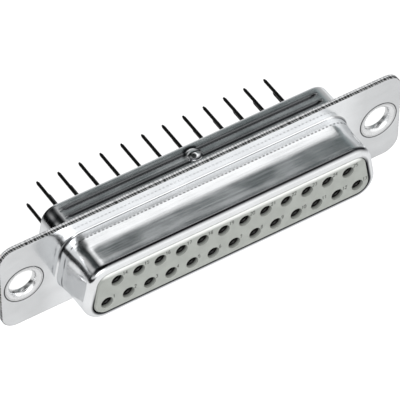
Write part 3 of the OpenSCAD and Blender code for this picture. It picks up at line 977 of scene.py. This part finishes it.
def contact_plate():
    """Dull plated copper alloy of the contacts, darkened by painted shade at the mouths in the insulator and
    by a painted dark reflection on the tails behind it."""
    fin = bpy.context.scene.connector_finishes
    mat, tree, shader = new_material("contact_plate")
    if tree is None:
        return mat
    cloud = grain(tree, 1500, (1, 0.3, 1), 3.0)
    metal = mottled(tree, cloud, fin.contact_colour, 0.75, 1.1)
    along = place(tree)["Y"]
    # painted shade at the mouths in the insulator and a painted dark reflection on the tails
    mouth = remap(tree, along, MOUTH_START, MOUTH_FULL, 0, 0.94)
    tail = remap(tree, along, TAIL_START, TAIL_FULL, 0, 0.93)
    painted_dark_share = maths(tree, "MAXIMUM", mouth, tail)
    tree.links.new(blend(tree, painted_dark_share, metal, (0.006, 0.006, 0.006, 1)), shader.inputs["Base Color"])
    tree.links.new(remap(tree, cloud, 0.3, 0.7, 0.3, 0.45), shader.inputs["Roughness"])
    shader.inputs["Metallic"].default_value = 1.0
    emboss(tree, shader, cloud, 0.2, 0.00001)
    return mat


class CONNECTOR_OT_finishes(bpy.types.Operator):
    """Give the moulded insulators and the contacts their finishes"""

    bl_idname = "connector.finishes"
    bl_label = "Insulator and Contact Finishes"

    def execute(self, context):
        for name, obj in frame["nodes"].items():
            if name.startswith("contact_"):
                mat = contact_plate()
            elif name.endswith("insulator"):
                mat = moulded_grey()
            elif name.startswith("rivet_"):
                mat = rivet_plate()
            else:
                mat = plated_sheet()
            obj.data.materials.clear()
            obj.data.materials.append(mat)
        return {"FINISHED"}


# ---------------------------------------------------------------- studio


FLOOR_REACH, FLOOR_LEFT = 2.0, -0.075
FLOOR_GLOW = 0.75  # share of its own light in what the camera and the metal see of the floor
ROOM_STRENGTH = 1.5
LAMP_PLACE, LAMP_POWER = (-0.25, -0.45, 0.45), 2.2
CAMERA_TURN, CAMERA_RISE, CAMERA_ROLL = radians(-32.499), radians(47.199), radians(0.2346)
CAMERA_AWAY, CAMERA_LENS = 0.38682, 310.24
CAMERA_SHIFT = (-0.0126, 0.0007)
# brightness of the room by height, 0 at the horizon and 1 overhead: the front wall, the back wall
# on the left and the back wall on the right
ROOM_WALLS = (
    ((0.0, 0.66), (0.4, 0.9), (0.87, 1.0), (0.905, 0.02), (1.0, 0.01)),
    ((0.0, 0.02), (0.36, 0.03), (0.48, 0.4), (0.6, 0.4), (0.7, 0.05), (0.86, 0.01), (1.0, 0.01)),
    ((0.0, 0.42), (0.3, 0.34), (0.6, 0.2), (0.76, 0.05), (0.81, 0.9), (0.88, 0.9), (0.905, 0.01),
     (1.0, 0.01)),
)
DIM = 0.3  # walls darker than this are slightly blue


def lay_floor(scene):
    """The pale floor, which also gives off some light towards the camera and in reflections."""
    mat, tree, shader = new_material("pale_floor")
    shader.inputs["Base Color"].default_value = (*scene.connector_finishes.floor_colour, 1)
    shader.inputs["Roughness"].default_value = 0.9
    seen = node(tree, "ShaderNodeLightPath").outputs
    strength = remap(tree, seen["Is Camera Ray"], 0, 1, 1.02, 1.26)
    glow = node(tree, "ShaderNodeEmission", {"Color": (1, 1, 1, 1), "Strength": strength})
    either = maths(tree, "MAXIMUM", seen["Is Camera Ray"], seen["Is Glossy Ray"])
    fade = maths(tree, "MULTIPLY", either, FLOOR_GLOW)
    mixed = node(
        tree, "ShaderNodeMixShader", {0: fade, 1: shader.outputs["BSDF"], 2: glow.outputs["Emission"]}
    )
    tree.links.new(mixed.outputs["Shader"], tree.nodes["Material Output"].inputs["Surface"])
    me = bpy.data.meshes.new("floor")
    z, e, left = CAD_BOX[0][2], FLOOR_REACH, FLOOR_LEFT
    me.from_pydata([(left, -e, z), (e, -e, z), (e, e, z), (left, e, z)], [], [(0, 1, 2, 3)])
    me.materials.append(mat)
    floor = bpy.data.objects.new("floor", me)
    scene.collection.objects.link(floor)


def wall_brightness(tree, height, stops):
    """One wall's colour by height."""
    ramp = node(tree, "ShaderNodeValToRGB", {"Fac": height})
    els = ramp.color_ramp.elements
    for pos, _ in stops[1:-1]:
        els.new(pos)
    for el, (pos, v) in zip(els, stops):
        el.position = pos
        el.color = (v * 0.87, v, v * 1.02, 1) if v < DIM else (v, v, v, 1)
    return ramp.outputs["Color"]


def light_room(scene):
    """The room that the metal reflects; the camera itself sees plain white."""
    world = bpy.data.worlds.new("soft_studio")
    world.use_nodes = True
    scene.world = world
    tree = world.node_tree
    tree.nodes.clear()
    out = tree.nodes.new("ShaderNodeOutputWorld")
    direction = node(tree, "ShaderNodeTexCoord").outputs["Generated"]
    way = node(tree, "ShaderNodeSeparateXYZ", {"Vector": direction}).outputs
    front, back_left, back_right = (wall_brightness(tree, way["Z"], stops) for stops in ROOM_WALLS)
    rear = blend(tree, remap(tree, way["X"], -0.15, 0.15, 0, 1), back_left, back_right)
    walls = blend(tree, remap(tree, way["Y"], -0.15, 0.25, 0, 1), front, rear)
    # a narrow dark strip along the horizon on the left
    low = maths(tree, "ABSOLUTE", maths(tree, "SUBTRACT", way["Z"], 0.03))
    left = remap(tree, way["X"], -0.65, -0.45, 1, 0)
    strip = maths(tree, "MULTIPLY", remap(tree, low, 0.19, 0.25, 1, 0), left)
    barred = blend(tree, strip, walls, (0.005, 0.005, 0.006, 1))
    room = node(tree, "ShaderNodeBackground", {"Color": barred, "Strength": ROOM_STRENGTH})
    white = node(tree, "ShaderNodeBackground", {"Color": (1, 1, 1, 1), "Strength": 1.0})
    seen = node(tree, "ShaderNodeLightPath").outputs["Is Camera Ray"]
    choose = node(tree, "ShaderNodeMixShader", {0: seen, 1: room.outputs[0], 2: white.outputs[0]})
    tree.links.new(choose.outputs[0], out.inputs["Surface"])


def hang_lamp(scene):
    """A soft rectangular panel in front, on the left and above, aimed at the connector."""
    lamp = bpy.data.lights.new("soft_panel", "AREA")
    lamp.shape = "RECTANGLE"
    lamp.size, lamp.size_y = 0.5, 0.35
    lamp.energy = LAMP_POWER
    panel = bpy.data.objects.new("soft_panel", lamp)
    panel.location = LAMP_PLACE
    panel.rotation_euler = (-Vector(panel.location)).to_track_quat("-Z", "Y").to_euler()
    scene.collection.objects.link(panel)


def aim_camera(scene):
    """The camera on a ball round the origin, turned to look at it and rolled a little."""
    turn, rise_angle, roll = CAMERA_TURN, CAMERA_RISE, CAMERA_ROLL
    back = Vector((sin(turn) * cos(rise_angle), -cos(turn) * cos(rise_angle), sin(rise_angle)))
    right = Vector((cos(turn), sin(turn), 0))
    x_axis = cos(roll) * right + sin(roll) * back.cross(right)
    y_axis = back.cross(x_axis)
    cam_data = bpy.data.cameras.new("camera")
    cam_data.sensor_width = 36.0
    cam_data.lens = CAMERA_LENS
    cam_data.shift_x, cam_data.shift_y = CAMERA_SHIFT
    cam_data.clip_start, cam_data.clip_end = 0.01, 10.0
    cam = bpy.data.objects.new("camera", cam_data)
    axes = Matrix((x_axis, y_axis, back)).transposed().to_4x4()
    axes.translation = back * CAMERA_AWAY
    cam.matrix_world = axes
    scene.collection.objects.link(cam)
    scene.camera = cam


class CONNECTOR_OT_studio(bpy.types.Operator):
    """Add the pale floor, the soft light and the camera"""

    bl_idname = "connector.studio"
    bl_label = "Studio"

    def execute(self, context):
        scene = context.scene
        scene.view_settings.view_transform = "Standard"
        lay_floor(scene)
        light_room(scene)
        hang_lamp(scene)
        aim_camera(scene)
        return {"FINISHED"}


# ---------------------------------------------------------------- panel and run


class CONNECTOR_PT_looks(bpy.types.Panel):
    """Sizes, finishes and builders of the connector"""

    bl_idname = "CONNECTOR_PT_looks"
    bl_label = "Connector"
    bl_space_type = "VIEW_3D"
    bl_region_type = "UI"
    bl_category = "Connector"

    def draw(self, context):
        layout = self.layout
        for group in ("connector_shells", "connector_trim", "connector_finishes"):
            settings = getattr(context.scene, group)
            box = layout.box()
            for name in settings.__annotations__:
                box.prop(settings, name)
        for op in OPERATORS:
            layout.operator(op.bl_idname)


OPERATORS = (
    CONNECTOR_OT_finishes,
    CONNECTOR_OT_front_shell,
    CONNECTOR_OT_rear_shell,
    CONNECTOR_OT_rivets,
    CONNECTOR_OT_numbers,
    CONNECTOR_OT_studio,
)
CLASSES = (ShellSizes, TrimSizes, Finishes, *OPERATORS, CONNECTOR_PT_looks)


def register():
    for cls in CLASSES:
        bpy.utils.register_class(cls)
    bpy.types.Scene.connector_shells = bpy.props.PointerProperty(type=ShellSizes)
    bpy.types.Scene.connector_trim = bpy.props.PointerProperty(type=TrimSizes)
    bpy.types.Scene.connector_finishes = bpy.props.PointerProperty(type=Finishes)


def unregister():
    del bpy.types.Scene.connector_finishes
    del bpy.types.Scene.connector_trim
    del bpy.types.Scene.connector_shells
    for cls in reversed(CLASSES):
        bpy.utils.unregister_class(cls)


def main():
    """Builds the whole connector and its studio."""
    register()
    bpy.ops.connector.finishes()
    bpy.ops.connector.front_shell()
    bpy.ops.connector.rear_shell()
    bpy.ops.connector.rivets()
    bpy.ops.connector.numbers()
    bpy.ops.connector.studio()


if __name__ == "__main__":
    main()
